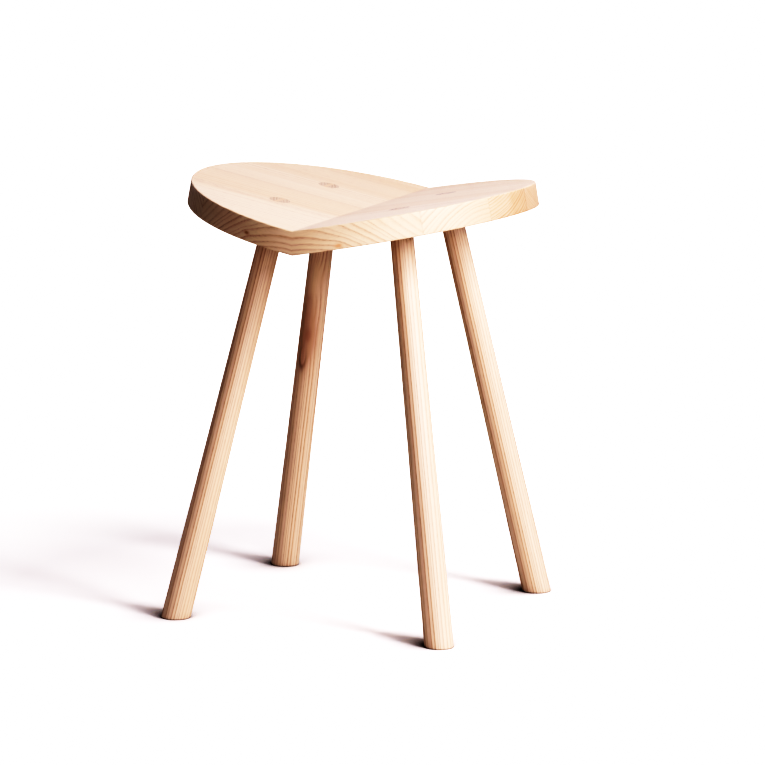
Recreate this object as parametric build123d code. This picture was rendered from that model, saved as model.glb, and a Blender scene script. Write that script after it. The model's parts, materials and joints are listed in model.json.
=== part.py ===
"""Four-legged milking stool with a seat folded along its middle.

The seat is two half discs of edge-glued ash staves. They meet in a mitre along the fold and rise away
from it on both sides. Loose tenons cross the mitre inside the wood. Each of the four round legs tapers
upwards, goes through its half of the seat in a round tenon, and is held by a wedge in a saw kerf.

Units are millimetres. The origin is on the floor, under the middle of the seat. +Z is up, the fold runs
along Y, -Y is the front, and the seat rises towards -X (the left half) and +X (the right half).
"""

import os
from math import cos, radians, sin

from build123d import *

# Seat
SEAT_RADIUS = 180.0  # of each half disc, in its own plane
SEAT_THICKNESS = 24.5
FOLD_HEIGHT = 418.5  # from the floor to the top of the fold
FOLD_TILT = 10.6  # degrees that each half rises from the fold
RIM_ROUND = 1.2  # radius of the softened edges round the seat
STAVE_WIDTH = 67.0  # across the grain; the outermost staves are cut down by the round rim
STAVES_PER_HALF = 6

# Loose tenons across the mitre, one for each pair of staves
LOOSE_TENON_LENGTH = 40.0
LOOSE_TENON_WIDTH = 22.0
LOOSE_TENON_THICKNESS = 8.0
LOOSE_TENON_RAISE = 1.5  # above the middle of the mitre, to stay inside the rising halves
POCKET_END_GAP = 0.5  # room for glue past each end

# Legs
TENON_OUT = 67.5  # from the fold to a leg's centre, in the plane of the seat's top
TENON_ALONG = 62.5  # from the middle of the fold to a leg's centre, towards the front or back
LEG_SPLAY = 9.7  # degrees that a leg leans to the front or back from square to its half
FOOT_DIAMETER = 30.0
SHOULDER_DIAMETER = 24.0
TENON_DIAMETER = 22.0
FOOT_ROUND = 1.5  # radius of the softened edge at the floor

# Wedges and the saw kerfs that they are driven into, measured down the leg from the top of the seat
WEDGE_THICKNESS = 4.0
WEDGE_TIP = 1.2  # also the width of the saw kerf
WEDGE_DEPTH = 18.0
KERF_DEPTH = 21.5
WEDGE_OVERRUN = 3.0  # how far a wedge stands above the seat before it is cut flush

OVERSIZE = 30.0  # how far a cutting shape runs past what it cuts

SIDES = {"left": -1, "right": 1}
ENDS = {"front": -1, "back": 1}


def seat_plane(side, depth=0.0):
    """The plane of a half's top, or one that deep under it, with X away from the fold and Z up and out."""
    tilt = radians(FOLD_TILT)
    outwards = Vector(side * cos(tilt), 0, sin(tilt))
    normal = Vector(-side * sin(tilt), 0, cos(tilt))
    return Plane(origin=Vector(0, 0, FOLD_HEIGHT) - normal * depth, x_dir=outwards, z_dir=normal)


def half_space(plane):
    """A block that fills the side of a plane that its Z points to."""
    size = 4 * SEAT_RADIUS
    return plane * Box(size, size, size, align=(Align.CENTER, Align.CENTER, Align.MIN))


def leg_plane(side, end):
    """A frame at the middle of a leg's top: X away from the fold, in the seat, and Z up the leg."""
    seat = seat_plane(side)
    splay = radians(LEG_SPLAY)
    top = seat.origin + seat.x_dir * TENON_OUT + Vector(0, end * TENON_ALONG, 0)
    upwards = seat.z_dir * cos(splay) - Vector(0, end * sin(splay), 0)
    return Plane(origin=top, x_dir=seat.x_dir, z_dir=upwards)


def along_leg(frame, plane):
    """How far a plane lies down the leg's centre line from the leg's top."""
    return (frame.origin - plane.origin).dot(plane.z_dir) / frame.z_dir.dot(plane.z_dir)


def wedge_outline(tip_depth):
    """The outline, across the leg, of a wedge that narrows to its tip and then runs straight on."""
    half_top = WEDGE_THICKNESS / 2
    half_tip = WEDGE_TIP / 2
    half_above = half_top + (half_top - half_tip) * WEDGE_OVERRUN / WEDGE_DEPTH
    right = [(half_above, WEDGE_OVERRUN), (half_tip, -WEDGE_DEPTH)]
    if tip_depth > WEDGE_DEPTH:
        right.append((half_tip, -tip_depth))
    left = [(-x, z) for x, z in reversed(right)]
    return Polyline(*right, *left, close=True)


def wedge_block(frame, tip_depth):
    """A wedge-shaped block through the whole tenon, with its flat sides towards and away from the fold."""
    across = Plane(origin=frame.origin, x_dir=frame.x_dir, z_dir=-frame.y_dir)
    face = make_face(across * wedge_outline(tip_depth))
    return extrude(face, amount=TENON_DIAMETER, both=True)


def tenon_rod(frame, top_overrun):
    """The tenon's cylinder, from inside the leg to that far above its top."""
    length = SEAT_THICKNESS + OVERSIZE + top_overrun
    rod = Cylinder(TENON_DIAMETER / 2, length, align=(Align.CENTER, Align.CENTER, Align.MAX))
    return frame * Pos(0, 0, top_overrun) * rod


def make_leg(side, end):
    """A tapered leg with its foot cut level, its shoulder cut to the seat and its tenon cut flush."""
    frame = leg_plane(side, end)
    underside = seat_plane(side, SEAT_THICKNESS)
    shoulder = along_leg(frame, underside)
    foot = along_leg(frame, Plane.XY)
    taper = (FOOT_DIAMETER - SHOULDER_DIAMETER) / 2 / (foot - shoulder)
    low, high = foot + OVERSIZE, shoulder - OVERSIZE
    shaft = Cone(
        FOOT_DIAMETER / 2 + taper * OVERSIZE,
        SHOULDER_DIAMETER / 2 - taper * OVERSIZE,
        low - high,
        align=(Align.CENTER, Align.CENTER, Align.MIN),
    )
    shaft = frame * Pos(0, 0, -low) * shaft
    shaft = shaft & half_space(Plane.XY) - half_space(underside)
    shaft = fillet(shaft.edges().group_by(Axis.Z)[0], FOOT_ROUND)
    tenon = tenon_rod(frame, OVERSIZE) & half_space(underside) - half_space(seat_plane(side))
    return shaft + tenon - wedge_block(frame, KERF_DEPTH)


def make_wedge(side, end):
    """The wedge in a leg's tenon, cut flush with the seat."""
    frame = leg_plane(side, end)
    return wedge_block(frame, WEDGE_DEPTH) & tenon_rod(frame, OVERSIZE) - half_space(seat_plane(side))


def loose_tenon(middle, end_gap=0.0):
    """A flat tenon with round edges, lying across the fold at that place along it."""
    section = SlotOverall(LOOSE_TENON_WIDTH, LOOSE_TENON_THICKNESS)
    bar = extrude(section, amount=LOOSE_TENON_LENGTH / 2 + end_gap, both=True)
    height = FOLD_HEIGHT - SEAT_THICKNESS / cos(radians(FOLD_TILT)) / 2 + LOOSE_TENON_RAISE
    return Plane(origin=(0, middle, height), x_dir=(0, 1, 0), z_dir=(1, 0, 0)) * bar


def make_half(side, stave_middles):
    """One half of the seat, not yet cut into staves, with its mortises and pockets."""
    top = seat_plane(side)
    disc = Cylinder(SEAT_RADIUS, SEAT_THICKNESS, align=(Align.CENTER, Align.CENTER, Align.MAX))
    disc = top * fillet(disc.edges().filter_by(GeomType.CIRCLE), RIM_ROUND)
    mitre = Plane(origin=(0, 0, FOLD_HEIGHT), x_dir=(0, 1, 0), z_dir=(side, 0, 0))
    half = disc & half_space(mitre)
    for end in ENDS.values():
        half = half - tenon_rod(leg_plane(side, end), OVERSIZE)
    for middle in stave_middles:
        half = half - loose_tenon(middle, POCKET_END_GAP)
    return half


def stave_spans():
    """The front and back of each stave, as places along the fold, with the outermost cut at the rim."""
    first_line = STAVE_WIDTH * (1 - STAVES_PER_HALF / 2)
    glue_lines = [first_line + STAVE_WIDTH * number for number in range(STAVES_PER_HALF - 1)]
    edges = [-SEAT_RADIUS, *glue_lines, SEAT_RADIUS]
    return list(zip(edges[:-1], edges[1:]))


def stave_block(front, back):
    """A block that holds everything between two places along the fold."""
    size = 4 * SEAT_RADIUS
    block = Box(size, back - front, size, align=(Align.CENTER, Align.MIN, Align.CENTER))
    return Pos(0, front, FOLD_HEIGHT) * block


def save(shape, node):
    """Writes a sub-part to its own file, as its single solid."""
    export_step(shape.solid(), os.path.join("parts", f"{node}.step"))


def main():
    """Makes every sub-part and writes it."""
    os.makedirs("parts", exist_ok=True)
    spans = stave_spans()
    middles = [(front + back) / 2 for front, back in spans]

    for number, middle in enumerate(middles, start=1):
        save(loose_tenon(middle), f"fold_tenon_{number}")
    for side_name, side in SIDES.items():
        half = make_half(side, middles)
        for number, (front, back) in enumerate(spans, start=1):
            save(half & stave_block(front, back), f"seat_{side_name}_stave_{number}")
        for end_name, end in ENDS.items():
            save(make_leg(side, end), f"leg_{end_name}_{side_name}")
            save(make_wedge(side, end), f"wedge_{end_name}_{side_name}")


main()
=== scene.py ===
"""Looks of a four-legged milking stool with a folded seat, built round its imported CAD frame.

The stool is new, bare ash: a seat of edge-glued staves, four turned legs whose wedged tenons come
through the seat, and a mitred fold. Every visible piece is a surface worked out with numpy, and every
colour comes from one model of how ash grows: rings about a heart, pores in the early wood, long fibres.

Lengths in the geometry are metres, in the frame's axes. Lengths in the materials are millimetres.
"""

import json
import logging
from dataclasses import dataclass
from enum import Enum
from math import atan2, cos, hypot, radians, sin, tan

import bmesh
import bpy
import numpy as np
from mathutils import Matrix, Vector


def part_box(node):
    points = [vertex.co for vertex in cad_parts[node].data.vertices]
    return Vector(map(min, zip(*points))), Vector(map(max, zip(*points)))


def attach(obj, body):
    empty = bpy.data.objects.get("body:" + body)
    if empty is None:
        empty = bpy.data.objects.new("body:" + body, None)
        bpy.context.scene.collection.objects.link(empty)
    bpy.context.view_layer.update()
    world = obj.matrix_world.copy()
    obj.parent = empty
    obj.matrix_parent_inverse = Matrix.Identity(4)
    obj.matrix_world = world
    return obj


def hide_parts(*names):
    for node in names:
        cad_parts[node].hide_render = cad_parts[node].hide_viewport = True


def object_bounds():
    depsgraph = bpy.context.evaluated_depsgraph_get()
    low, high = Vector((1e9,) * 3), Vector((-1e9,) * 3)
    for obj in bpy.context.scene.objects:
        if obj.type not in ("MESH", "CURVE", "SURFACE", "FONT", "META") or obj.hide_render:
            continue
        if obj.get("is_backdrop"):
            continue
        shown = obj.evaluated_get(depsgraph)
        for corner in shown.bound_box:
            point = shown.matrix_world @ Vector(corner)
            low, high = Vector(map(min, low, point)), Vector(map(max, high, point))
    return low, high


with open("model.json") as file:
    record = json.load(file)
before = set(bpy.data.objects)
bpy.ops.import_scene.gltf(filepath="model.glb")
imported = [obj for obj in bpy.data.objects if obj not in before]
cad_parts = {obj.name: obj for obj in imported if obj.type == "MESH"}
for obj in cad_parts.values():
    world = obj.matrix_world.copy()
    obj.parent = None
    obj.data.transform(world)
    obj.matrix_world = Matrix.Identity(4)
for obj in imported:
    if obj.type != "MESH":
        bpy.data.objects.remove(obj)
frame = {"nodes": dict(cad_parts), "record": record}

log = logging.getLogger("stool")

MM = 0.001
WELD = 1e-6  # points nearer than this are one point
SHARP = radians(32)  # an edge that turns more than this stays crisp

SRGB_KNEE, SRGB_SLOPE, SRGB_OFFSET, SRGB_POWER = 0.04045, 12.92, 0.055, 2.4

Colour = tuple[float, float, float, float]
Triple = tuple[float, float, float]
Pair = tuple[float, float]
Grid = np.ndarray | float
Socket = bpy.types.NodeSocket
Made = bpy.types.NodeSocket | bpy.types.Node
Inputs = dict[int | str, object]

# The rows of a capped tube: the middle of one end, its wall there and at the other end, and that middle.
TUBE_RADII = np.array([0.0, 1.0, 1.0, 0.0])[:, None]
TUBE_ENDS = np.array([-1.0, -1.0, 1.0, 1.0])[:, None]


class Side(Enum):
    """The two halves of the seat, by the way they rise from the fold along X."""

    LEFT = -1
    RIGHT = 1


class End(Enum):
    """The two ends of the fold, by their way along Y."""

    FRONT = -1
    BACK = 1


def linear(code: str) -> Colour:
    """Turns an sRGB hex colour into linear light.

    Args:
        code: Six hex digits after a hash.

    Returns:
        Linear red, green, blue, and an alpha of 1.
    """
    srgb = np.array([int(code[at : at + 2], 16) for at in (1, 3, 5)]) / 255
    curved = ((srgb + SRGB_OFFSET) / (1 + SRGB_OFFSET)) ** SRGB_POWER
    light = np.where(srgb <= SRGB_KNEE, srgb / SRGB_SLOPE, curved)
    return (*(float(value) for value in light), 1.0)


def bearing(azimuth: float, elevation: float) -> Vector:
    """The direction at an azimuth, from the front towards +X, and an elevation, both in degrees."""
    across, up = radians(azimuth), radians(elevation)
    return Vector((sin(across) * cos(up), -cos(across) * cos(up), sin(up)))


# ---- Meshes ----


def mesh_from_grids(name: str, grids: list[np.ndarray]) -> bpy.types.Mesh:
    """Joins rectangular grids of points into one closed mesh whose faces look outwards.

    Each grid of rows by columns gives a quad between every four neighbours. Points that coincide, along
    seams and at poles, are welded, which closes the surface and turns the quads at a pole into triangles.

    Args:
        name: The mesh's name.
        grids: Arrays of shape (rows, columns, 3), in metres.

    Returns:
        The welded mesh.
    """
    points, quads, start = [], [], 0
    for grid in grids:
        rows, columns = grid.shape[:2]
        index = start + np.arange(rows * columns).reshape(rows, columns)
        corners = (index[:-1, :-1], index[1:, :-1], index[1:, 1:], index[:-1, 1:])
        quads.append(np.stack(corners, -1).reshape(-1, 4))
        points.append(grid.reshape(-1, 3))
        start += rows * columns
    mesh = bpy.data.meshes.new(name)
    mesh.from_pydata(np.concatenate(points).tolist(), [], np.concatenate(quads).tolist())
    weld(mesh)
    return mesh


def weld(mesh: bpy.types.Mesh) -> None:
    """Joins the points that coincide, drops faces without area, and turns the rest outwards.

    Args:
        mesh: The mesh to close, along its seams and at its poles.
    """
    welder = bmesh.new()
    welder.from_mesh(mesh)
    bmesh.ops.remove_doubles(welder, verts=welder.verts, dist=WELD)
    bmesh.ops.dissolve_degenerate(welder, edges=welder.edges, dist=WELD)
    bmesh.ops.recalc_face_normals(welder, faces=welder.faces)
    welder.to_mesh(mesh)
    welder.free()


def add_object(name: str, mesh: bpy.types.Mesh) -> bpy.types.Object:
    """Puts a mesh into the scene as an object at the origin.

    Args:
        name: The object's name.
        mesh: Its mesh, with its place in its points.

    Returns:
        The new object.
    """
    made = bpy.data.objects.new(name, mesh)
    bpy.context.scene.collection.objects.link(made)
    return made


def close_up(mesh: bpy.types.Mesh) -> None:
    """Fills any sliver that a cut left open, and turns every face outwards.

    Args:
        mesh: The mesh that was cut.
    """
    filler = bmesh.new()
    filler.from_mesh(mesh)
    open_edges = [edge for edge in filler.edges if edge.is_boundary]
    bmesh.ops.holes_fill(filler, edges=open_edges, sides=0)
    bmesh.ops.recalc_face_normals(filler, faces=filler.faces)
    filler.to_mesh(mesh)
    filler.free()


def carve(target: bpy.types.Object, cutters: list[bpy.types.Object]) -> None:
    """Cuts closed shapes out of a piece for good, and throws the shapes away.

    Args:
        target: The piece to cut.
        cutters: The shapes to take out of it.
    """
    for cutter in cutters:
        cut = target.modifiers.new("cut", "BOOLEAN")
        cut.operation = "DIFFERENCE"
        cut.solver = "EXACT"
        cut.object = cutter
    seen = target.evaluated_get(bpy.context.evaluated_depsgraph_get())
    carved = bpy.data.meshes.new_from_object(seen)
    target.modifiers.clear()
    close_up(carved)
    target.data = carved
    for cutter in cutters:
        bpy.data.objects.remove(cutter)


def finish_piece(piece: bpy.types.Object, material: bpy.types.Material, node: str) -> None:
    """Shades a piece, dresses it, and ties it to the frame.

    Args:
        piece: The finished mesh object.
        material: What it is made of.
        node: The CAD node that it stands for.
    """
    piece.data.materials.clear()
    piece.data.materials.append(material)
    piece.data.polygons.foreach_set("use_smooth", np.ones(len(piece.data.polygons), bool))
    piece.data.set_sharp_from_angle(angle=SHARP)
    piece.data.update()
    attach(piece, "root")
    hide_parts(node)
    log.info("%s: %d faces for %s", piece.name, len(piece.data.polygons), node)


# ---- Materials ----


class Graph:
    """The nodes of a material or a world, added one at a time."""

    def __init__(self, owner: bpy.types.Material | bpy.types.World) -> None:
        """Starts with no nodes.

        Args:
            owner: The material or world to fill.
        """
        owner.use_nodes = True
        self.nodes = owner.node_tree.nodes
        self.links = owner.node_tree.links
        self.nodes.clear()

    def add(self, kind: str, inputs: Inputs | None = None, out: int | str = 0, **settings: object) -> Made:
        """Adds a node with its settings, and fills its inputs.

        Args:
            kind: The node's type, without its ShaderNode prefix.
            inputs: For an input's name or number, a constant or the socket to link from.
            out: The output to give back.
            **settings: The node's own properties.

        Returns:
            The output socket asked for, or the node itself if it has no outputs.
        """
        made = self.nodes.new("ShaderNode" + kind)
        for name, value in settings.items():
            setattr(made, name, value)
        for name, value in (inputs or {}).items():
            if isinstance(value, bpy.types.NodeSocket):
                self.links.new(value, made.inputs[name])
            else:
                made.inputs[name].default_value = value
        return made.outputs[out] if made.outputs else made


@dataclass(frozen=True)
class Waver:
    """A kind of unevenness in wood, drawn out along the grain."""

    size: float  # millimetres across the grain
    stretch: float  # the share of its length along the grain that it keeps; less is longer
    detail: float  # octaves of finer noise


BENDS = Waver(size=46.0, stretch=0.10, detail=1.0)  # the trunk's own bends
RIPPLES = Waver(size=6.5, stretch=0.22, detail=1.5)
STREAKS = Waver(size=13.0, stretch=0.03, detail=2.0)  # paler and tanner wood
FIBRES = Waver(size=0.95, stretch=0.016, detail=3.0)  # really 0.02 mm; drawn coarse enough to show
STREAK_STRENGTH = 0.9

YEAR_NOISE = 0.37  # changes between good and poor growth, for each year
YEAR_SHIFT = 1.6  # years by which they shift the rings
POOREST_YEAR = 0.45  # the early wood of the poorest year beside the best one's
SEASONS = ((0.0, 0.3), (0.08, 1.0), (0.20, 0.68), (0.42, 0.16), (0.80, 0.0), (1.0, 0.3))

PORE_SIZE = 0.85  # millimetres; really 0.2 to 0.3, drawn coarse enough to show
PORE_STRETCH = 0.11  # the share of its length along the grain that a pore keeps
PORE_RIM, PORE_CORE = 0.42, 0.18  # distances from a pore's middle, in its own size
PORE_STRENGTH = 0.5

FIBRE_ROUGHNESS = 0.12
PORE_DIP, EARLY_DIP = 0.8, 0.5  # how deep they lie, where a fibre's height is 1
BUMP_STRENGTH, BUMP_HEIGHT = 0.35, 0.05 * MM

KNOT_EDGE = 0.2  # how strong a knot still is at its edge
SAPWOOD_STEP, SAPWOOD_START = 0.55, -0.3  # what the sapwood's edge adds to the tone
END_GRAIN_POWER = 4.0  # higher keeps the end tint to surfaces cut more squarely across the grain
GLUE_REACH, GLUE_CORE = 0.9, 0.15  # millimetres from a glue line; really 0.1, drawn coarse enough to show


@dataclass(frozen=True)
class Grain:
    """Where a stick of wood lies, and how it was cut from its tree. Lengths are millimetres.

    The heart is the tree's centre line. It runs along the grain, at a distance from the stick's own line.
    """

    origin: Vector  # a point on the stick's own line, in metres
    along: Vector  # the grain's direction
    across: Vector  # a direction square to the grain
    heart_across: float
    heart_up: float
    ring: float  # the width of a year's growth at the stick's own line
    crowding: float = 0.0  # the share by which rings crowd together for each millimetre from the heart
    phase: float = 0.0  # the time of year at the stick's own line, in years

    def turn(self) -> Matrix:
        """The rotation from the frame's axes to the grain's: X along the grain, Y across it and Z up."""
        return Matrix((self.along, self.across, self.along.cross(self.across)))

    def mapping(self) -> dict[str, Triple]:
        """Turns metres in the frame into millimetres from the heart.

        Returns:
            The Mapping node's inputs for it.
        """
        turn = self.turn()
        place = -(turn @ self.origin) / MM - Vector((0, self.heart_across, self.heart_up))
        return {"Location": tuple(place), "Rotation": tuple(turn.to_euler("XYZ")), "Scale": (1 / MM,) * 3}


@dataclass(frozen=True)
class Spot:
    """A knot: a place where the rings bulge round a branch and the wood is darker. Millimetres."""

    centre: Vector  # in metres, in the frame
    length: float  # half of it, along the grain
    width: float  # half of it, across the grain
    bulge: float  # how far it pushes the rings towards the heart
    colour: str
    strength: float
    core: float = 1.0  # the share of it that is stained


@dataclass(frozen=True)
class Ash:
    """European ash, sanded to 240 grit and left bare.

    To the eye it is a pale, matt wood with thin tan lines where the pores of each spring's growth were cut
    open, long fine fibres, and a deeper tone on end grain.
    """

    name: str
    grain: Grain
    pale: str = "#EED7B8"  # the sapwood
    tan_wood: str = "#E0C19B"  # wood nearer the heart
    line: str = "#BE9269"  # the porous early wood of a ring
    pore: str = "#94694A"
    tone: float = 0.4  # from pale, 0, to tan, 1
    line_strength: float = 0.6
    wander: float = 4.0  # millimetres that a ring strays over a hand's breadth
    ripple: float = 0.7  # millimetres that it wavers over a fingertip
    fibre: float = 0.10  # share by which fibres lighten and darken
    face: Vector | None = None  # square to the wide sanded faces, where the rings show less
    face_fade: float = 0.6
    end_tint: str = "#DAD2CD"  # what end grain does to the colour
    roughness: float = 0.56
    ior: float = 1.47
    specular: float = 0.8
    glue_lines: tuple[tuple[float, float], ...] = ()  # places along Y, in millimetres, and how dark
    border: tuple[float, float, float] | None = None  # sapwood's edge: place across, slope, softness
    spots: tuple[Spot, ...] = ()

    def build(self) -> bpy.types.Material:
        """Makes the material.

        Returns:
            The material, with its colour, roughness and bump from nodes.
        """
        material = bpy.data.materials.new(self.name)
        AshNodes(self, material).join_up()
        return material


class AshNodes(Graph):
    """The nodes of one ash material, worked out from where each place lies in its tree."""

    def __init__(self, ash: Ash, material: bpy.types.Material) -> None:
        """Starts with the place in the frame, in metres, and from the tree's heart, in millimetres.

        Args:
            ash: The wood and its finish.
            material: The material to fill.
        """
        super().__init__(material)
        self.ash = ash
        self.spot = self.add("TexCoord", out="Object")
        self.place = self.add("Mapping", {"Vector": self.spot, **ash.grain.mapping()}, vector_type="POINT")
        self.knots = [self.knot(spot) for spot in ash.spots]

    def noise(self, kind: Waver) -> Socket:
        """Noise drawn out along the grain.

        Args:
            kind: Its size, stretch and detail.

        Returns:
            The noise, from about -0.5 to 0.5.
        """
        drawn = self.add("VectorMath", {0: self.place, 1: (kind.stretch, 1.0, 1.0)}, operation="MULTIPLY")
        noise = self.add("TexNoise", {"Vector": drawn, "Scale": 1 / kind.size, "Detail": kind.detail})
        return self.add("Math", {0: noise, 1: 0.5}, operation="SUBTRACT")

    def knot(self, spot: Spot) -> Socket:
        """How near a place is to a knot: the edge's strength to the power of the squared distance.

        Args:
            spot: The knot, whose half length and half widths are the distance's units.

        Returns:
            The nearness: 1 at the knot's middle, falling to 0 round it.
        """
        sizes = (1 / (spot.length * MM), 1 / (spot.width * MM), 1 / (spot.width * MM))
        turn = tuple(self.ash.grain.turn().to_euler("XYZ"))
        from_it = self.add("VectorMath", {0: self.spot, 1: tuple(spot.centre)}, operation="SUBTRACT")
        local = self.add("Mapping", {"Vector": from_it, "Rotation": turn})
        sized = self.add("VectorMath", {0: local, 1: sizes}, operation="MULTIPLY")
        reach = self.add("VectorMath", {0: sized}, out="Value", operation="LENGTH")
        squared = self.add("Math", {0: reach, 1: 2.0}, operation="POWER")
        return self.add("Math", {0: KNOT_EDGE, 1: squared}, operation="POWER")

    def facing(self, way: Vector) -> Socket:
        """How squarely the surface faces a direction, either way round.

        Args:
            way: The direction.

        Returns:
            The size of the cosine between the two.
        """
        normal = self.add("TexCoord", out="Normal")
        cosine = self.add("VectorMath", {0: normal, 1: tuple(way)}, out="Value", operation="DOT_PRODUCT")
        return self.add("Math", {0: cosine}, operation="ABSOLUTE")

    def years(self) -> Socket:
        """The year that a place grew in, counted from the stick's own line.

        The distance from the heart, bent by slow and quick noise and by knots, is divided by the ring's
        width. Its whole part numbers the year, and its fraction is the time of that year.

        Returns:
            The year.
        """
        ash, grain = self.ash, self.ash.grain
        flat = self.add("VectorMath", {0: self.place, 1: (0.0, 1.0, 1.0)}, operation="MULTIPLY")
        distance = self.add("VectorMath", {0: flat}, out="Value", operation="LENGTH")
        bends = [(self.noise(BENDS), ash.wander), (self.noise(RIPPLES), ash.ripple)]
        bends += [(near, spot.bulge) for spot, near in zip(ash.spots, self.knots)]
        for bend, amount in bends:
            distance = self.add("Math", {0: bend, 1: amount, 2: distance}, operation="MULTIPLY_ADD")
        middle = hypot(grain.heart_across, grain.heart_up)
        off = self.add("Math", {0: distance, 1: middle}, operation="SUBTRACT")
        crowd = self.add("Math", {0: off, 1: grain.crowding / 2, 2: 1.0}, operation="MULTIPLY_ADD")
        off = self.add("Math", {0: off, 1: crowd}, operation="MULTIPLY")
        years = self.add("Math", {0: off, 1: 1 / grain.ring, 2: grain.phase}, operation="MULTIPLY_ADD")
        uneven = self.add("TexNoise", {"W": years, "Scale": YEAR_NOISE, "Detail": 1.0}, noise_dimensions="1D")
        return self.add("Math", {0: uneven, 1: YEAR_SHIFT, 2: years}, operation="MULTIPLY_ADD")

    def early_wood(self, years: Socket) -> Socket:
        """How porous the wood is: a sharp start in spring that fades by summer, weaker in poor years.

        Args:
            years: The year that a place grew in.

        Returns:
            The share of early wood, from 0 to 1.
        """
        season = self.add("Math", {0: years}, operation="FRACT")
        year = self.add("Math", {0: years}, operation="FLOOR")
        weight = self.add("TexWhiteNoise", {"W": year}, noise_dimensions="1D")
        weight = self.add("MapRange", {"Value": weight, "To Min": POOREST_YEAR, "To Max": 1.0})
        share = self.add("ValToRGB", {"Fac": season})
        stops = share.node.color_ramp.elements
        while len(stops) < len(SEASONS):
            stops.new(1.0)
        for stop, (time, value) in zip(stops, SEASONS):
            stop.position = time
            stop.color = (value, value, value, 1.0)
        return self.add("Math", {0: share, 1: weight}, operation="MULTIPLY")

    def pores(self, early: Socket) -> Socket:
        """The pores that the surface cuts open, as cells drawn out along the grain.

        Args:
            early: The share of early wood, which holds them.

        Returns:
            How far a place is into a pore, from 0 to 1.
        """
        drawn = self.add("VectorMath", {0: self.place, 1: (PORE_STRETCH, 1.0, 1.0)}, operation="MULTIPLY")
        cells = self.add("TexVoronoi", {"Vector": drawn, "Scale": 1 / PORE_SIZE}, out="Distance")
        pores = self.add("MapRange", {"Value": cells, "From Min": PORE_RIM, "From Max": PORE_CORE})
        return self.add("Math", {0: pores, 1: early}, operation="MULTIPLY")

    def tone(self) -> Socket:
        """The wood's tone: streaks, with sapwood that ends at a slanting line on the board.

        Returns:
            The tone, from pale, 0, to tan, 1.
        """
        streaks = {0: self.noise(STREAKS), 1: STREAK_STRENGTH, 2: self.ash.tone}
        tone = self.add("Math", streaks, operation="MULTIPLY_ADD")
        if self.ash.border is not None:
            at, slope, softness = self.ash.border
            way = (-slope / MM, 1 / MM, 0.0)
            side = self.add("VectorMath", {0: self.spot, 1: way}, out="Value", operation="DOT_PRODUCT")
            side = self.add("MapRange", {"Value": side, "From Min": at - softness, "From Max": at + softness})
            side = self.add("Math", {0: side, 1: SAPWOOD_STEP, 2: SAPWOOD_START}, operation="MULTIPLY_ADD")
            tone = self.add("Math", {0: tone, 1: side}, operation="ADD")
        return self.add("Clamp", {"Value": tone})

    def layers(self, early: Socket, pores: Socket) -> list[tuple[Socket, str]]:
        """The colours that lie over the sapwood's, in order, with the share that each one takes.

        Args:
            early: The share of early wood, which shows less on the wide faces.
            pores: How far a place is into a pore.

        Returns:
            Pairs of a share and an sRGB hex colour.
        """
        ash = self.ash
        lines = self.add("Math", {0: early, 1: ash.line_strength}, operation="MULTIPLY")
        if ash.face is not None:
            fade = {0: self.facing(ash.face), 1: -ash.face_fade, 2: 1.0}
            kept = self.add("Math", fade, operation="MULTIPLY_ADD")
            lines = self.add("Math", {0: lines, 1: kept}, operation="MULTIPLY")
        dots = self.add("Math", {0: pores, 1: PORE_STRENGTH}, operation="MULTIPLY")
        layers = [(self.tone(), ash.tan_wood), (lines, ash.line), (dots, ash.pore)]
        for spot, near in zip(ash.spots, self.knots):
            core = self.add("Math", {0: near, 1: spot.core**-2}, operation="POWER")
            stain = self.add("Math", {0: core, 1: spot.strength}, operation="MULTIPLY", use_clamp=True)
            layers.append((stain, spot.colour))
        return layers

    def glue_line(self, at: float, darkness: float) -> Socket:
        """The thin line of glue where two staves meet.

        Args:
            at: The joint's place along Y, in millimetres.
            darkness: How dark the line is.

        Returns:
            The share of the glue's colour.
        """
        way = (0.0, 1 / MM, 0.0)
        along = self.add("VectorMath", {0: self.spot, 1: way}, out="Value", operation="DOT_PRODUCT")
        off = self.add("Math", {0: along, 1: at}, operation="SUBTRACT")
        off = self.add("Math", {0: off}, operation="ABSOLUTE")
        reach = {"From Min": GLUE_REACH, "From Max": GLUE_CORE, "To Max": darkness}
        return self.add("MapRange", {"Value": off, **reach})

    def colour(self, early: Socket, pores: Socket, fibres: Socket) -> Socket:
        """Mixes the layers, tints them on end grain, shades them by fibres and draws the glue lines.

        Args:
            early: The share of early wood.
            pores: How far a place is into a pore.
            fibres: The fibres' noise.

        Returns:
            The wood's colour.
        """
        ash = self.ash
        colour = linear(ash.pale)
        for share, paint in self.layers(early, pores):
            colour = self.add("Mix", {"Factor": share, 6: colour, 7: linear(paint)}, 2, data_type="RGBA")
        cut = self.add("Math", {0: self.facing(ash.grain.along), 1: END_GRAIN_POWER}, operation="POWER")
        deep = self.add("VectorMath", {0: colour, 1: linear(ash.end_tint)[:3]}, operation="MULTIPLY")
        colour = self.add("Mix", {"Factor": cut, 6: colour, 7: deep}, 2, data_type="RGBA")
        shade = self.add("Math", {0: fibres, 1: 2 * ash.fibre, 2: 1.0}, operation="MULTIPLY_ADD")
        colour = self.add("VectorMath", {0: colour, 1: shade}, operation="MULTIPLY")
        for at, darkness in ash.glue_lines:
            near = self.glue_line(at, darkness)
            colour = self.add("Mix", {"Factor": near, 6: colour, 7: linear(ash.pore)}, 2, data_type="RGBA")
        return colour

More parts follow.
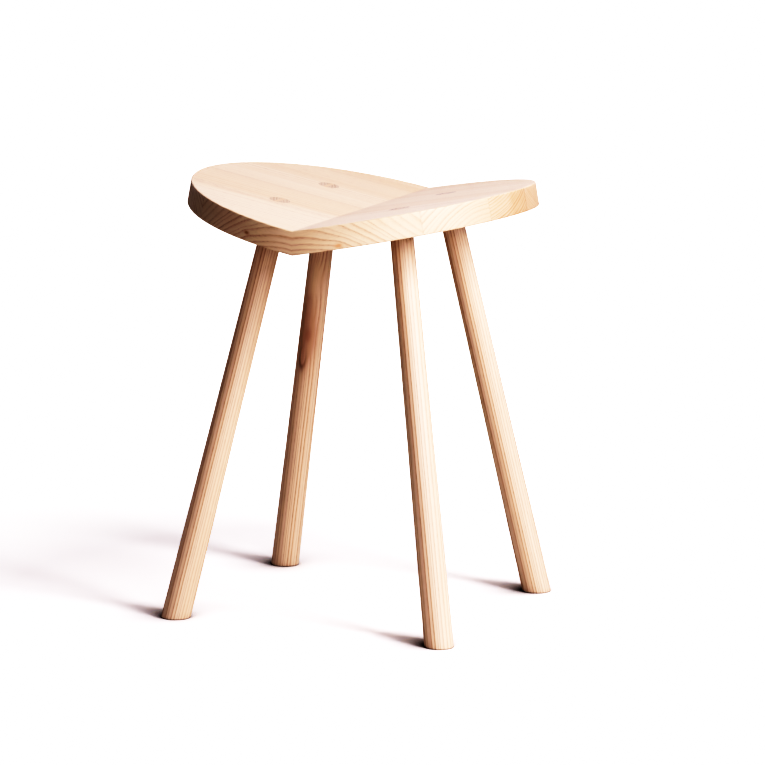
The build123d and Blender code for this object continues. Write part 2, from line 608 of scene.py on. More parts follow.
    def join_up(self) -> None:
        """Joins the patterns into the shader's colour, roughness and bump."""
        early = self.early_wood(self.years())
        pores = self.pores(early)
        fibres = self.noise(FIBRES)
        rough = {0: fibres, 1: FIBRE_ROUGHNESS, 2: self.ash.roughness}
        rough = self.add("Math", rough, operation="MULTIPLY_ADD")
        dips = self.add("Math", {0: pores, 1: -PORE_DIP, 2: fibres}, operation="MULTIPLY_ADD")
        height = self.add("Math", {0: early, 1: -EARLY_DIP, 2: dips}, operation="MULTIPLY_ADD")
        bump = self.add("Bump", {"Height": height, "Strength": BUMP_STRENGTH, "Distance": BUMP_HEIGHT})
        wood = {"Base Color": self.colour(early, pores, fibres), "Roughness": rough, "Normal": bump}
        gloss = {"IOR": self.ash.ior, "Specular IOR Level": self.ash.specular}
        self.add("OutputMaterial", {"Surface": self.add("BsdfPrincipled", {**wood, **gloss})})


# ---- The stool ----


@dataclass(frozen=True)
class SeatShape:
    """The seat's planes and sizes, read from the frame. Metres and radians."""

    tilt: float
    fold: Vector  # the middle of the top of the fold
    radius: float
    thickness: float
    rim_round: float = 1.2 * MM

    @classmethod
    def from_frame(cls) -> "SeatShape":
        """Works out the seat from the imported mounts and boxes.

        Returns:
            The seat's shape.
        """
        mounts = {mount["name"]: mount for mount in frame["record"]["mounts"]}
        top = mounts["seat_right_top"]
        normal, point = Vector(top["axis"]), Vector(top["pos_m"])
        tilt = atan2(-normal.x, normal.z)
        fold = Vector((0, 0, normal.dot(point) / normal.z))
        low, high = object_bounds()
        middle_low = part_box("seat_right_stave_3")[0]
        return cls(tilt, fold, (high.y - low.y) / 2, (fold.z - middle_low.z) * cos(tilt))

    def outwards(self, side: Side) -> Vector:
        """The direction away from the fold, in a half's top."""
        return Vector((side.value * cos(self.tilt), 0, sin(self.tilt)))

    def normal(self, side: Side) -> Vector:
        """The direction square to a half's top, upwards."""
        return Vector((-side.value * sin(self.tilt), 0, cos(self.tilt)))

    def place(self, side: Side, out: Grid, along: Grid, depth: Grid) -> np.ndarray:
        """Turns a half's own measures into places in the frame.

        The place is the fold's middle, plus out along the half's slope, plus along the fold, less depth
        along the half's normal.

        Args:
            side: Which half.
            out: Distance from the fold in the half's plane.
            along: Distance along the fold, towards the back.
            depth: Distance under the top.

        Returns:
            An array of points.
        """
        out, along, depth = np.broadcast_arrays(out, along, depth)
        slope, normal = np.array(self.outwards(side)), np.array(self.normal(side))
        points = out[..., None] * slope - depth[..., None] * normal + np.array(self.fold)
        points[..., 1] += along
        return points


@dataclass(frozen=True)
class LegShape:
    """A leg's line and sizes. Metres and radians."""

    side: Side
    end: End
    seat: SeatShape
    out: float = 67.5 * MM
    along: float = 62.5 * MM
    splay: float = radians(9.7)
    foot_radius: float = 15 * MM
    shoulder_radius: float = 12 * MM
    tenon_radius: float = 11 * MM
    foot_round: float = 1.5 * MM

    @property
    def name(self) -> str:
        """The leg's place in words, as the frame's nodes have it."""
        return f"{self.end.name.lower()}_{self.side.name.lower()}"

    @property
    def top(self) -> Vector:
        """The middle of the tenon's end."""
        along = Vector((0, self.end.value * self.along, 0))
        return self.seat.fold + self.seat.outwards(self.side) * self.out + along

    @property
    def axis(self) -> Vector:
        """The direction up the leg."""
        lean = Vector((0, self.end.value * sin(self.splay), 0))
        return self.seat.normal(self.side) * cos(self.splay) - lean

    @property
    def cross(self) -> tuple[Vector, Vector]:
        """Two directions square to the leg: away from the fold, and the one that completes them."""
        first = self.seat.outwards(self.side)
        return first, self.axis.cross(first)

    def down_to(self, radius: Grid, turn: Grid, point: Vector, normal: Vector) -> Grid:
        """How far below the leg's top a plane is met, going down the leg from a place off its axis.

        It is the height of the starting place over the plane, divided by how steeply the leg meets it.

        Args:
            radius: Distance from the axis.
            turn: Angle round the axis.
            point: A point on the plane.
            normal: The plane's normal.

        Returns:
            Distances down the leg.
        """
        first, second = self.cross
        start = (self.top - point).dot(normal)
        off = radius * (np.cos(turn) * first.dot(normal) + np.sin(turn) * second.dot(normal))
        return (start + off) / self.axis.dot(normal)

    def place(self, radius: Grid, turn: Grid, down: Grid) -> np.ndarray:
        """Points round the leg: the top, plus the radius outwards at an angle, less a distance up the axis.

        Args:
            radius: Distance from the axis.
            turn: Angle round the axis, from its outward side.
            down: Distance below the top.

        Returns:
            An array of points.
        """
        radius, turn, down = np.broadcast_arrays(radius, turn, down)
        first, second = (np.array(direction) for direction in self.cross)
        off = np.cos(turn)[..., None] * first + np.sin(turn)[..., None] * second
        return np.array(self.top) + radius[..., None] * off - down[..., None] * np.array(self.axis)


@dataclass(frozen=True)
class StaveWood:
    """How one pair of staves, left and right of the fold, was cut and coloured. Millimetres."""

    heart_across: float  # from the stave's own middle line
    heart_up: float
    ring: float
    tone: float
    crowding: float = 0.0
    phase: float = 0.0
    line_strength: float = 0.6
    wander: float = 4.0
    ripple: float = 0.7
    border: tuple[float, float, float] | None = None


@dataclass(frozen=True)
class SeatHalf:
    """Half of the seat: edge-glued staves with mortises for two legs and pockets for loose tenons."""

    side: Side
    shape: SeatShape
    woods: tuple[StaveWood, ...]
    knots: tuple[Spot, ...]  # in the front stave
    pocket_length: float = 41 * MM
    pocket_width: float = 22 * MM
    pocket_height: float = 8 * MM
    pocket_raise: float = 1.5 * MM
    spare: float = 8 * MM  # how far a cutter runs past the wood
    mortise_columns: int = 96
    pocket_columns: int = 64
    pocket_cross: float = 4.0  # how steeply a pocket's outline crosses from one round edge to the other
    glue: float = 0.14  # how dark a glue line is
    middle_glue: float = 0.5  # and the one in the middle of the seat
    rows: int = 12  # of points between the mitre and the rim
    columns: int = 30  # of points from front to back
    rim_rows: int = 5  # down the rim's straight part
    rows_round: int = 6  # round a softened edge
    even_share: float = 0.985  # the share of the width that the even rows take
    support: float = 0.997  # a row just inside the rim, which keeps the flat faces flat to the light

    def profile(self) -> tuple[np.ndarray, np.ndarray]:
        """The rim from top to bottom, as depth and radius.

        A quarter circle softens each edge: at an angle round it, the depth is the rounding's radius less
        its cosine part, and the rim draws in by the radius less its sine part.

        Returns:
            The depths and the radii.
        """
        angle = np.linspace(0, np.pi / 2, self.rows_round + 1)
        drop = self.shape.rim_round * (1 - np.cos(angle))
        draw = self.shape.rim_round * (1 - np.sin(angle))
        thickness = self.shape.thickness
        straight = np.linspace(self.shape.rim_round, thickness - self.shape.rim_round, self.rim_rows)[1:-1]
        depth = np.concatenate([drop, straight, thickness - drop[::-1]])
        radius = self.shape.radius - np.concatenate([draw, np.zeros_like(straight), draw[::-1]])
        return depth, radius

    def stave_points(
        self, front: float, back: float, s: Grid, t: Grid, depth: Grid, radius: Grid
    ) -> np.ndarray:
        """Points of a stave from three parameters.

        The angle round the rim goes evenly from the stave's front to its back, and gives the place along
        the fold. The distance from the fold goes evenly from the mitre, s = 0, to the rim, s = 1. An
        outermost stave starts or ends where the mitre meets the rim, so there it closes to a line.

        Args:
            front: The stave's front, along the fold.
            back: Its back.
            s: From the mitre to the rim, 0 to 1.
            t: From front to back, 0 to 1.
            depth: Distance under the top.
            radius: The rim's radius at that depth.

        Returns:
            An array of points.
        """
        mitre = -depth * tan(self.shape.tilt)
        limit = self.shape.radius - WELD
        corner = np.arcsin(mitre / radius)
        start = corner if front <= -limit else np.arccos(np.clip(-front / radius, -1, 1))
        stop = np.pi - corner if back >= limit else np.arccos(np.clip(-back / radius, -1, 1))
        angle = start + t * (stop - start)
        out = mitre + s * (radius * np.sin(angle) - mitre)
        return self.shape.place(self.side, out, -radius * np.cos(angle), depth + 0 * out)

    def stave_mesh(self, name: str, front: float, back: float) -> bpy.types.Mesh:
        """A stave's closed surface: its top and bottom, rim and mitre, and the two glued faces.

        Args:
            name: The mesh's name.
            front: The stave's front, along the fold.
            back: Its back.

        Returns:
            The mesh.
        """
        depth, radius = self.profile()
        s = np.concatenate([np.linspace(0, self.even_share, self.rows), [self.support, 1.0]])
        t = np.linspace(0, 1, self.columns)
        faces = [self.stave_points(front, back, s[:, None], t[None], depth[at], radius[at]) for at in (0, -1)]
        rows = (depth[:, None], radius[:, None])
        faces += [self.stave_points(front, back, end, t[None], *rows) for end in (0.0, 1.0)]
        faces += [self.stave_points(front, back, s[None], end, *rows) for end in (0.0, 1.0)]
        return mesh_from_grids(name, faces)

    def mortise(self, leg: LegShape) -> bpy.types.Object:
        """A cutter along a leg: a round bar through the seat.

        Args:
            leg: The leg whose tenon it makes room for.

        Returns:
            The cutter.
        """
        turn = np.linspace(0, 2 * np.pi, self.mortise_columns + 1)[None]
        down = TUBE_ENDS * (self.shape.thickness / 2 + self.spare)
        points = leg.place(TUBE_RADII * leg.tenon_radius, turn, down + self.shape.thickness / 2)
        return add_object("mortise", mesh_from_grids("mortise", [points]))

    def pocket(self, middle: float) -> bpy.types.Object:
        """A cutter across the fold: a flat bar with half-round edges, for a loose tenon.

        Its outline is a circle whose two halves are drawn apart along the fold by the flat's width.

        Args:
            middle: Its middle, along the fold.

        Returns:
            The cutter.
        """
        turn = np.linspace(0, 2 * np.pi, self.pocket_columns + 1)[None]
        half = self.pocket_height / 2
        apart = (self.pocket_width / 2 - half) * np.clip(self.pocket_cross * np.cos(turn), -1, 1)
        along = TUBE_RADII * (half * np.cos(turn) + apart) + middle
        height = self.shape.fold.z - self.shape.thickness / cos(self.shape.tilt) / 2 + self.pocket_raise
        up = TUBE_RADII * half * np.sin(turn) + height
        out = TUBE_ENDS * self.pocket_length / 2 + 0 * turn
        return add_object("pocket", mesh_from_grids("pocket", [np.stack([out, along, up], -1)]))

    def wood(self, number: int, front: float, back: float) -> Ash:
        """The material of one stave, with the glue lines at its sides.

        Args:
            number: The stave's number, from the front.
            front: Its front, along the fold.
            back: Its back.

        Returns:
            The wood and its finish.
        """
        cut = self.woods[number - 1]
        middle = Vector((0, (front + back) / 2, 0)) - self.shape.normal(self.side) * self.shape.thickness / 2
        grain = Grain(
            origin=self.shape.fold + middle,
            along=self.shape.outwards(self.side) * self.side.value,
            across=Vector((0, 1, 0)),
            heart_across=cut.heart_across,
            heart_up=cut.heart_up,
            ring=cut.ring,
            crowding=cut.crowding,
            phase=cut.phase,
        )
        inside = [at for at in (front, back) if abs(at) < self.shape.radius - MM]
        lines = tuple((at / MM, self.middle_glue if abs(at) < MM else self.glue) for at in inside)
        return Ash(
            name=f"ash_bare_sanded_stave_{self.side.name.lower()}_{number}",
            grain=grain,
            tone=cut.tone,
            wander=cut.wander,
            ripple=cut.ripple,
            line_strength=cut.line_strength,
            face=self.shape.normal(self.side),
            spots=self.knots if number == 1 else (),
            glue_lines=lines,
            border=cut.border,
        )

    def build(self, legs: list[LegShape]) -> None:
        """Makes the half's staves, cuts them, and dresses them.

        Args:
            legs: The legs whose tenons come through this half.
        """
        for number in range(1, len(self.woods) + 1):
            side = self.side.name.lower()
            node = f"seat_{side}_stave_{number}"
            low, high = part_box(node)
            stave = add_object(f"stave_{side}_{number}", self.stave_mesh(node, low.y, high.y))
            cutters = [self.pocket((low.y + high.y) / 2)]
            for leg in legs:
                reach = leg.tenon_radius + self.shape.thickness * tan(leg.splay)
                if low.y - reach < leg.end.value * leg.along < high.y + reach:
                    cutters.append(self.mortise(leg))
            carve(stave, cutters)
            finish_piece(stave, self.wood(number, low.y, high.y).build(), node)


@dataclass(frozen=True)
class LegWood:
    """How a leg was cut and coloured. Millimetres, and degrees round the leg."""

    heart_turn: float  # the heart's bearing, round the leg from its outward side
    heart_off: float
    ring: float
    tone: float
    wander: float = 1.5
    ripple: float = 0.35


@dataclass(frozen=True)
class Leg:
    """A turned leg with its tenon, and the wedge that spreads the tenon in the seat."""

    shape: LegShape
    wood: LegWood
    spots: tuple[Spot, ...] = ()
    wedge_thickness: float = 4 * MM
    wedge_tip: float = 1.2 * MM
    wedge_depth: float = 18 * MM
    wedge_rows: tuple[int, int, int] = (5, 15, 9)  # of points across, along and down
    kerf_depth: float = 21.5 * MM
    spare: float = 3 * MM  # how far the kerf's cutter stands out of the wood
    shaft_rows: int = 60
    round_rows: int = 6
    columns: int = 96
    support: float = 0.97  # a ring just inside each end's edge, which keeps the edge crisp
    unevenness: float = 0.06 * MM  # what turning and sanding by hand leave
    waves: Triple = (31.0, 47.0, 90.0)  # how fast it changes down the leg, and from leg to leg, per metre

    def shaft_radius(self, down: Grid) -> Grid:
        """The taper: the radius grows evenly from the shoulder to the foot.

        Args:
            down: Distance below the leg's top.

        Returns:
            Radii.
        """
        shape = self.shape
        under = shape.seat.fold - shape.seat.normal(shape.side) * shape.seat.thickness
        first = shape.down_to(0, 0, under, shape.seat.normal(shape.side))
        last = shape.down_to(0, 0, Vector(), Vector((0, 0, 1)))
        share = (down - first) / (last - first)
        return shape.shoulder_radius + share * (shape.foot_radius - shape.shoulder_radius)

    def mesh(self) -> bpy.types.Mesh:
        """The leg's closed surface of turning, cut by three planes.

        Each ring of points has a plane that it starts from, a distance from that plane and a radius: the
        foot lies on the floor, a quarter circle softens it, the shaft's rings pass evenly from the floor's
        slope to the seat's, the shoulder and the tenon follow, and the tenon ends in the seat's top. The
        shaft's radius wavers a little by the product of two slow waves.

        Returns:
            The mesh.
        """
        shape = self.shape
        turn = np.linspace(0, 2 * np.pi, self.columns + 1)[None]
        normal = shape.seat.normal(shape.side)
        under = shape.seat.fold - normal * shape.seat.thickness
        level = Vector((0, 0, 1))
        shoulder = shape.down_to(shape.shoulder_radius, turn, under, normal)
        bend = np.linspace(0, np.pi / 2, self.round_rows)[:, None]
        foot_radius = shape.foot_radius - shape.foot_round * (1 - np.sin(bend)) + 0 * turn
        foot_down = shape.down_to(foot_radius, turn, Vector(), level) - shape.foot_round * (1 - np.cos(bend))
        foot_radius *= self.shaft_radius(foot_down) / shape.foot_radius
        share = np.linspace(0, 1, self.shaft_rows)[1:, None]
        shaft_down = foot_down[-1:] + share * (shoulder - foot_down[-1:])
        twist, swell, shift = self.waves
        waver = np.sin(2 * turn + twist * shaft_down) * np.sin(swell * shaft_down + shape.top.x * shift)
        shaft_radius = self.shaft_radius(shaft_down) + self.unevenness * waver * np.sin(np.pi * share)
        inner = shape.tenon_radius
        middle = foot_radius[:1] * np.array([[0.0], [self.support]])
        rings = [shape.place(middle, turn, shape.down_to(middle, turn, Vector(), level))]
        rings.append(shape.place(foot_radius, turn, foot_down))
        rings.append(shape.place(shaft_radius, turn, shaft_down))
        rings.append(shape.place(inner, turn, shape.down_to(inner, turn, under, normal)))
        for radius in (inner, inner * self.support, 0.0):
            rings.append(shape.place(radius, turn, shape.down_to(radius, turn, shape.seat.fold, normal)))
        return mesh_from_grids(f"leg_{shape.name}", [np.concatenate(rings)])

    def kerf(self) -> bpy.types.Object:
        """A cutter for the saw kerf, spread to the wedge's shape.

        It is a box across the tenon, whose half width falls evenly to the wedge's tip and then stays.

        Returns:
            The cutter.
        """
        shape = self.shape
        tip = self.wedge_tip / 2
        slope = (self.wedge_thickness - self.wedge_tip) / 2 / self.wedge_depth
        down = np.array([-self.spare, self.wedge_depth, self.kerf_depth])[:, None]
        half = np.array([self.wedge_thickness / 2 + slope * self.spare, tip, tip])[:, None]
        sides = np.array([[-1.0, 1.0, 1.0, -1.0, -1.0]])
        ends = np.array([[-1.0, -1.0, 1.0, 1.0, -1.0]])
        first, second = (np.array(direction) for direction in shape.cross)
        reach = 2 * shape.tenon_radius
        points = (
            np.array(shape.top)
            + (half * sides)[..., None] * first
            + (reach * ends + 0 * half)[..., None] * second
            - (down + 0 * sides)[..., None] * np.array(shape.axis)
        )
        caps = [np.stack([row[[0, 1]], row[[3, 2]]]) for row in (points[0], points[-1])]
        return add_object("kerf", mesh_from_grids("kerf", [points, *caps]))

    def wedge_points(self, s: Grid, t: Grid, w: Grid) -> np.ndarray:
        """Points of the wedge from three parameters.

        Down the leg it narrows evenly to its tip. Across its thickness s goes from -1 to 1, and along its
        width t does, out to the tenon's round wall. Its top lies in the seat's top.

        Args:
            s: Across the thickness, -1 to 1.
            t: Along the width, -1 to 1.
            w: From the top, 0, to the tip, 1.

        Returns:
            An array of points.
        """
        shape = self.shape
        half = (self.wedge_thickness + w * (self.wedge_tip - self.wedge_thickness)) / 2
        across = s * half
        along = t * np.sqrt(shape.tenon_radius**2 - across**2)
        radius, turn = np.hypot(across, along), np.arctan2(along, across)
        top = shape.down_to(radius, turn, shape.seat.fold, shape.seat.normal(shape.side))
        return shape.place(radius, turn, top + w * (self.wedge_depth - top))

    def wedge_mesh(self) -> bpy.types.Mesh:
        """The wedge's closed surface: its top and tip, two flat cheeks and two round ends.

        Returns:
            The mesh.
        """
        across, along, down = (np.linspace(-1, 1, rows) for rows in self.wedge_rows)
        down = (down + 1) / 2
        faces = [self.wedge_points(across[:, None], along[None], end) for end in (0.0, 1.0)]
        faces += [self.wedge_points(end, along[:, None], down[None]) for end in (-1.0, 1.0)]
        faces += [self.wedge_points(across[:, None], end, down[None]) for end in (-1.0, 1.0)]
        return mesh_from_grids(f"wedge_{self.shape.name}", faces)

    def ash(self) -> Ash:
        """The leg's material: rings about a heart well outside the leg.

        Returns:
            The wood and its finish.
        """
        wood, shape = self.wood, self.shape
        first, _ = shape.cross
        turn = radians(wood.heart_turn)
        grain = Grain(
            origin=shape.top,
            along=shape.axis,
            across=first,
            heart_across=wood.heart_off * cos(turn),
            heart_up=wood.heart_off * sin(turn),
            ring=wood.ring,
        )
        return Ash(
            name=f"ash_bare_turned_leg_{shape.name}",
            grain=grain,
            pale="#EDD8BF",
            tan_wood="#DEC09F",
            line="#B98F67",
            line_strength=0.9,
            tone=wood.tone,
            wander=wood.wander,
            ripple=wood.ripple,
            end_tint="#DDD7CC",
            spots=self.spots,
        )

    def wedge_ash(self) -> Ash:
        """The wedge's material: a paler slip of ash, its grain down the leg.

        Returns:
            The wood and its finish.
        """
        shape = self.shape
        _, second = shape.cross
        grain = Grain(shape.top, shape.axis, second, heart_across=40.0, heart_up=60.0, ring=1.8)
        return Ash(
            name=f"ash_split_wedge_{shape.name}",
            grain=grain,
            tone=0.5,
            line_strength=0.3,
            end_tint="#EFE6DC",
        )

    def build(self) -> None:
        """Makes the leg and its wedge, and dresses them."""
        name = self.shape.name
        leg = add_object(f"turned_leg_{name}", self.mesh())
        carve(leg, [self.kerf()])
        finish_piece(leg, self.ash().build(), f"leg_{name}")
        wedge = add_object(f"wedge_in_{name}", self.wedge_mesh())
        finish_piece(wedge, self.wedge_ash().build(), f"wedge_{name}")


@dataclass(frozen=True)
class LooseTenons:
    """The loose tenons inside the fold. Their CAD shapes stay; they get beech's colour."""

    seat: SeatShape
    count: int = 6

    def build(self) -> None:
        """Dresses each loose tenon in beech, planed: pinkish brown, with short dark flecks."""
        along, across = Vector((1, 0, 0)), Vector((0, 1, 0))
        grain = Grain(self.seat.fold, along, across, heart_across=10.0, heart_up=-90.0, ring=2.2)
        beech = Ash(
            name="beech_planed",
            grain=grain,
            pale="#DDB48C",
            tan_wood="#CB9A6E",
            line="#A97449",
            line_strength=0.3,
        ).build()
        for number in range(1, self.count + 1):
            node = f"fold_tenon_{number}"
            piece = frame["nodes"][node]
            piece.data.materials.clear()
            piece.data.materials.append(beech)
            log.info("%s dressed in %s", node, beech.name)


# ---- The studio ----


@dataclass(frozen=True)
class Softbox:
    """A soft light of the studio. Azimuth 0 stands at the front, -Y, and 90 at the right, +X."""

    name: str
    azimuth: float
    elevation: float
    distance: float
    width: float
    height: float
    strength: float  # the light that it sends to the middle, in watts for each square metre
    colour: str = "#F8F0FB"
    aim: Triple = (0.0, 0.0, 0.25)

    def build(self) -> None:
        """Makes the light, facing the stool from its bearing."""
        data = bpy.data.lights.new(self.name, "AREA")
        data.shape = "RECTANGLE"
        data.size, data.size_y = self.width, self.height
        data.energy = self.strength * np.pi * self.distance**2
        data.color = linear(self.colour)[:3]
        lamp = bpy.data.objects.new(self.name, data)
        away = bearing(self.azimuth, self.elevation)
        lamp.location = Vector(self.aim) + away * self.distance
        lamp.rotation_euler = away.to_track_quat("Z", "Y").to_euler()
        bpy.context.scene.collection.objects.link(lamp)
        log.info("%s light: %.1f W", self.name, data.energy)


@dataclass(frozen=True)
class Tone:
    """The picture's tone: an S-shaped curve, with deep shade and clean whites.

    A light of x middles becomes white * x^contrast / (1 + x^contrast), and the rest clips.
    """

    contrast: float = 3.0
    middle: float = 0.3125
    white: float = 1.08
    steps: int = 12
    every_channel: int = 3  # the curve that works on red, green and blue alike

    def build(self) -> None:
        """Sets the scene's curve from the formula."""
        view = bpy.context.scene.view_settings
        view.view_transform = "Standard"
        view.use_curve_mapping = True
        curve = view.curve_mapping.curves[self.every_channel]
        light = np.linspace(0, 1, self.steps + 1)
        power = (light / self.middle) ** self.contrast
        shown = np.minimum(self.white * power / (1 + power), 1)
        curve.points[-1].location = (light[-1], shown[-1])
        for x, y in zip(light[1:-1], shown[1:-1]):
            curve.points.new(float(x), float(y))
        view.curve_mapping.update()


@dataclass(frozen=True)
class Studio:
    """A plain pale floor, soft light from the right, and the camera."""

    azimuth: float = 22.84
    elevation: float = 10.43
    roll: float = 0.67
    distance: float = 4.501
    lens: float = 203.7
    target: Triple = (0.0202, 0.0086, 0.2361)
    view_end: float = 100.0
    floor_size: float = 60.0
    floor_rows: int = 9
    floor_roughness: float = 0.9
    floor_colour: str = "#FFFCF6"
    glow_colour: str = "#FFF9F9"
    painted_shadow_reach: float = 0.07  # how near a foot the painted shadow reaches
    painted_shadow_depth: float = 3.0  # more makes the painted shadow darker
    lift: float = 1.35  # how much lighter the floor is where it is seen
    glow_near: float = 0.02
    glow_far: float = 1.0
    glow_reach: Pair = (0.38, 0.9)  # where the glow starts to grow, and where it is whole
    bounce: float = 0.62
    bounce_reach: Pair = (0.5, 0.95)  # where the bounced light starts to fade, and ends
    backdrop: float = 0.28
    backdrop_edge: Pair = (0.1, 0.7)  # how far towards +Y it starts, and is whole
    sheen: float = 1.3  # what the backdrop adds in reflections
    surround: float = 0.31
    surround_edge: Pair = (0.35, 0.65)  # how far up it starts to fade, and ends
    fill_colour: str = "#F8F0FA"
    lights: tuple[Softbox, ...] = (
        Softbox("key", 72.0, 34.0, 1.65, 0.52, 0.85, 2.15),  # first, because the floor looks towards it
        Softbox("front", 38.0, 12.0, 2.2, 0.9, 0.9, 0.58),
        Softbox("back", -125.0, 35.0, 2.2, 1.0, 1.0, 0.12),
    )

    def floor(self) -> None:
        """A wide level sheet at floor height, in matt paper that is plain white to the eye.

        Near the stool it takes its light from the lamps, and further out it glows by itself, up to plain
        white. The light that it sends back to the stool comes from nearby only. Round each foot a shadow is
        painted into its colour and glow, on the side away from the key light, by how much of the sky on the
        key's side the foot hides.
        """
        half = self.floor_size / 2
        steps = np.linspace(-half, half, self.floor_rows)
        x, y = np.meshgrid(steps, steps, indexing="ij")
        piece = add_object("floor", mesh_from_grids("floor", [np.stack([x, y, 0 * x], -1)]))
        paper = bpy.data.materials.new("floor_matt_paper")
        add = Graph(paper).add
        spot = add("TexCoord", out="Object")
        away = add("VectorMath", {0: spot}, out="Value", operation="LENGTH")
        start, stop = self.glow_reach
        glow = {"From Min": start, "From Max": stop, "To Min": self.glow_near, "To Max": self.glow_far}
        glow = add("MapRange", {"Value": away, **glow})
        seen = add("LightPath", out="Is Camera Ray")
        glow = add("Math", {0: glow, 1: seen}, operation="MULTIPLY")
        start, stop = self.bounce_reach
        near = {"From Min": start, "From Max": stop, "To Min": self.bounce, "To Max": 0.0}
        near = add("MapRange", {"Value": away, **near})
        share = add("Math", {0: seen, 1: self.lift, 2: near}, operation="MULTIPLY_ADD")
        # Painted shadow: the floor's colour and its glow are darkened round each foot, on the side away from
        # the key, by the share of the key's side of the sky that the foot hides.
        key = self.lights[0]
        to_key = bearing(key.azimuth, key.elevation)
        tilted = add("VectorMath", {0: add("NewGeometry", out="Normal"), 1: to_key}, operation="ADD")
        tilted = add("VectorMath", {0: tilted}, operation="NORMALIZE")
        reach = {"Distance": self.painted_shadow_reach, "Normal": tilted}
        open_to_key = add("AmbientOcclusion", reach, out="AO")
        open_to_key = add("Math", {0: open_to_key, 1: self.painted_shadow_depth}, operation="POWER")
        share = add("Math", {0: share, 1: open_to_key}, operation="MULTIPLY")
        colour = add("VectorMath", {0: linear(self.floor_colour)[:3], 1: share}, operation="MULTIPLY")
        glow = add("Math", {0: glow, 1: open_to_key}, operation="MULTIPLY")
        shader = add(
            "BsdfPrincipled",
            {
                "Base Color": colour,
                "Roughness": self.floor_roughness,
                "Specular IOR Level": 0.0,
                "Emission Color": linear(self.glow_colour),
                "Emission Strength": glow,
            },
        )
        add("OutputMaterial", {"Surface": shader})
        piece.data.materials.append(paper)
        piece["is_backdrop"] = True

    def world(self) -> None:
        """Dim light from low all round, brighter from a backdrop behind, and a white background."""
        world = bpy.data.worlds.new("studio")
        add = Graph(world).add
        way = add("TexCoord", out="Generated")
        depth = add("SeparateXYZ", {0: way}, out="Y")
        height = add("SeparateXYZ", {0: way}, out="Z")
        glossy = add("LightPath", out="Is Glossy Ray")
        card = add("Math", {0: glossy, 1: self.sheen, 2: self.backdrop}, operation="MULTIPLY_ADD")
        start, stop = self.backdrop_edge
        behind = add("MapRange", {"Value": depth, "From Min": start, "From Max": stop, "To Max": card})
        start, stop = self.surround_edge
        low = {"From Min": start, "From Max": stop, "To Min": self.surround, "To Max": 0.0}
        around = add("MapRange", {"Value": height, **low})
        sent = add("Math", {0: behind, 1: around}, operation="MAXIMUM")
        sent = add("Background", {"Color": linear(self.fill_colour), "Strength": sent})
        white = add("Background", {"Color": linear("#FFFFFF"), "Strength": 1.0})
        seen = add("LightPath", out="Is Camera Ray")
        mix = add("MixShader", {0: seen, 1: sent, 2: white})
        add("OutputWorld", {"Surface": mix})
        bpy.context.scene.world = world

    def camera(self) -> None:
        """Sets the camera: back from its target along the viewing direction, and rolled a little."""
        azimuth, roll = radians(self.azimuth), radians(self.roll)
        back = bearing(self.azimuth, self.elevation)
        level = Vector((cos(azimuth), sin(azimuth), 0))
        up = back.cross(level)
        right = level * cos(roll) + up * sin(roll)
        above = up * cos(roll) - level * sin(roll)
        data = bpy.data.cameras.new("camera")
        data.lens = self.lens
        data.clip_end = self.view_end
        camera = bpy.data.objects.new("camera", data)
        turn = Matrix((right, above, back)).transposed().to_4x4()
        camera.matrix_world = Matrix.Translation(Vector(self.target) + back * self.distance) @ turn
        bpy.context.scene.collection.objects.link(camera)
        bpy.context.scene.camera = camera

    def build(self) -> None:
        """Sets up the floor, the lights, the tone of the picture and the camera."""
        self.floor()
        self.world()
        for light in self.lights:
            light.build()
        self.camera()
        Tone().build()


@dataclass(frozen=True)
class LegMark:
    """A stain, a knot or a swirl in a leg's wood. Millimetres."""

    turn: float  # degrees round the leg from its outward side
    down: float  # below the leg's top
    length: float
    width: float
    bulge: float
    colour: str
    strength: float

    def spot(self, leg: LegShape) -> Spot:
        """The mark's place and look in the wood.

        Args:
            leg: The leg that it marks.

        Returns:
            The mark.
        """
        skin = (leg.shoulder_radius + leg.foot_radius) / 2
        place = Vector(leg.place(skin, radians(self.turn), self.down * MM))
        return Spot(place, self.length, self.width, self.bulge, self.colour, self.strength)


@dataclass(frozen=True)
class PinKnot:
    """A pin knot that shows on the front of the rim."""

    side: Side
    bearing: float  # degrees round the rim from the front of the fold
    depth: float  # millimetres under the top
    size: float
    bulge: float
    colour: str
    strength: float = 1.2
    core: float = 0.28

    def spot(self, seat: SeatShape) -> Spot:
        """The knot's place and look in the wood, twice as long along the grain as across it.

        Args:
            seat: The seat whose rim it shows on.

        Returns:
            The knot.
        """
        turn = radians(self.bearing)
        out, along = seat.radius * sin(turn), -seat.radius * cos(turn)
        centre = Vector(seat.place(self.side, out, along, self.depth * MM))
        return Spot(centre, 2 * self.size, self.size, self.bulge, self.colour, self.strength, self.core)


# ---- This stool ----

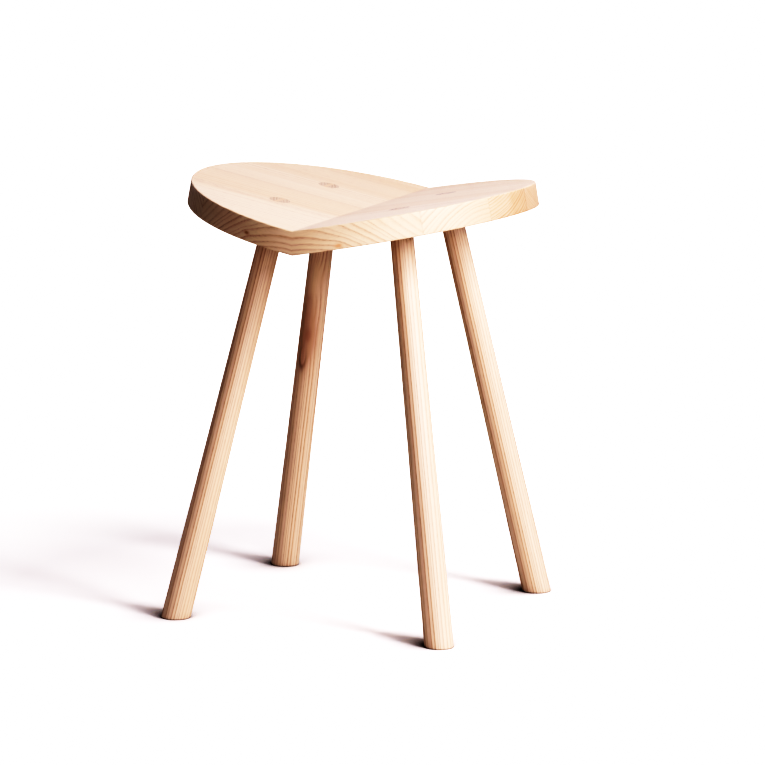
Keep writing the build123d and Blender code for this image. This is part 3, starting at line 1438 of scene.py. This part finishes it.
# From the front to the back, alike in both halves, because the two come from one board
STAVE_WOODS = (
    StaveWood(heart_across=132, heart_up=77, ring=3.7, tone=0.05, crowding=0.02, phase=-0.45, wander=2.5),
    StaveWood(heart_across=30, heart_up=-56, ring=4.0, tone=0.1, border=(-67, 0.19, 4), line_strength=0.5),
    StaveWood(heart_across=-58, heart_up=136, ring=3.0, tone=0.38, border=(-67, 0.19, 4), line_strength=0.8),
    StaveWood(heart_across=50, heart_up=100, ring=2.4, tone=0.32, ripple=0.9),
    StaveWood(heart_across=150, heart_up=-60, ring=2.8, tone=0.6),
    StaveWood(heart_across=120, heart_up=-30, ring=2.6, tone=0.9),
)

# Stains and a knot in the upper half of one leg
LEG_MARKS = {
    (End.BACK, Side.LEFT): (
        LegMark(100, 105, 28, 10, 5.0, "#E4CAAC", 1.5),
        LegMark(80, 140, 22, 8, 3.0, "#D2B498", 2.2),
        LegMark(92, 170, 36, 11, 4.0, "#CAAA8E", 2.2),
        LegMark(96, 168, 12, 5, -3.0, "#BA967C", 1.2),
        LegMark(82, 196, 12, 4.4, 2.0, "#8F705E", 2.2),
        LegMark(83, 192, 11, 3.2, 0.0, "#CAAA8E", 3.0),
    ),
}

PIN_KNOTS = (
    PinKnot(Side.LEFT, 16.5, 15.5, 8.0, 1.0, "#BE966E"),
    PinKnot(Side.RIGHT, 14.5, 20.5, 9.0, 1.6, "#DCB089"),
)

LEG_WOODS = {
    (End.FRONT, Side.LEFT): LegWood(heart_turn=205, heart_off=110, ring=2.8, tone=0.35),
    (End.BACK, Side.LEFT): LegWood(heart_turn=24, heart_off=80, ring=3.0, tone=0.3),
    (End.FRONT, Side.RIGHT): LegWood(heart_turn=20, heart_off=120, ring=3.3, tone=0.3),
    (End.BACK, Side.RIGHT): LegWood(heart_turn=30, heart_off=100, ring=2.7, tone=0.25),
}


def main() -> None:
    """Builds the seat, the legs and the studio in order."""
    logging.basicConfig(level=logging.INFO, format="%(name)s: %(message)s")
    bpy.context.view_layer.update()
    seat = SeatShape.from_frame()
    legs = {(end, side): LegShape(side, end, seat) for side in Side for end in End}
    for side in Side:
        knots = tuple(knot.spot(seat) for knot in PIN_KNOTS if knot.side is side)
        SeatHalf(side, seat, STAVE_WOODS, knots).build([legs[end, side] for end in End])
    for place, shape in legs.items():
        spots = tuple(mark.spot(shape) for mark in LEG_MARKS.get(place, ()))
        Leg(shape, LEG_WOODS[place], spots).build()
    LooseTenons(seat).build()
    Studio().build()


if __name__ == "__main__":
    main()
